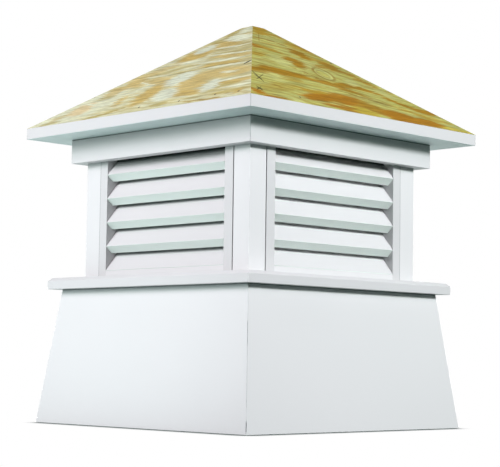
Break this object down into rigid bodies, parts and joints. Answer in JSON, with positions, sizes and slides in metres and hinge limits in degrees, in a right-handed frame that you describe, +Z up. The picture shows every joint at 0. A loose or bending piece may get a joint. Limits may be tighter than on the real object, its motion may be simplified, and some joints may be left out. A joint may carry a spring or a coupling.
{
  "type": "louvred roof cupola",
  "caption": "Square louvred roof cupola with a flared base, bevelled sill, corner posts, fixed slats and a bare plywood hip roof; it lets air out at a building's ridge.",
  "frame": {"origin": "centre of the base's bottom edges, at floor level", "axes": "+Z up through the roof's peak; -Y towards the front side and +X towards the right side"},
  "size_m": [0.603, 0.603, 0.7535],
  "materials": {
    "pvc_board": "matte white cellular board with crisp sawn edges",
    "pine_plywood": "bare rotary-cut pine plywood with brown grain bands",
    "pine_lumber": "bare planed softwood",
    "nail_steel": "dulled steel of the nail heads in the roof panels"
  },
  "bodies": {
    "root": {"base_panel_front": "pvc_board", "base_panel_right": "pvc_board", "base_panel_back": "pvc_board", "base_panel_left": "pvc_board", "sill_board_front": "pvc_board", "sill_board_right": "pvc_board", "sill_board_back": "pvc_board", "sill_board_left": "pvc_board", "louvre_stiles_front": "pvc_board", "louvre_stiles_right": "pvc_board", "louvre_stiles_back": "pvc_board", "louvre_stiles_left": "pvc_board", "louvre_rails_front": "pvc_board", "louvre_rails_right": "pvc_board", "louvre_rails_back": "pvc_board", "louvre_rails_left": "pvc_board", "louvre_slats_front": "pvc_board", "louvre_slats_right": "pvc_board", "louvre_slats_back": "pvc_board", "louvre_slats_left": "pvc_board", "frieze_board_front": "pvc_board", "frieze_board_right": "pvc_board", "frieze_board_back": "pvc_board", "frieze_board_left": "pvc_board", "eave_board_front": "pvc_board", "eave_board_right": "pvc_board", "eave_board_back": "pvc_board", "eave_board_left": "pvc_board", "roof_panel_front": "pine_plywood", "roof_panel_right": "pine_plywood", "roof_panel_back": "pine_plywood", "roof_panel_left": "pine_plywood", "base_block_front_right": "pine_lumber", "base_block_back_right": "pine_lumber", "base_block_back_left": "pine_lumber", "base_block_front_left": "pine_lumber", "corner_post_front_right": "pvc_board", "corner_post_back_right": "pvc_board", "corner_post_back_left": "pvc_board", "corner_post_front_left": "pvc_board", "hip_rafter_front_right": "pine_lumber", "hip_rafter_back_right": "pine_lumber", "hip_rafter_back_left": "pine_lumber", "hip_rafter_front_left": "pine_lumber", "peak_block": "pine_lumber"}
  },
  "joints": []
}
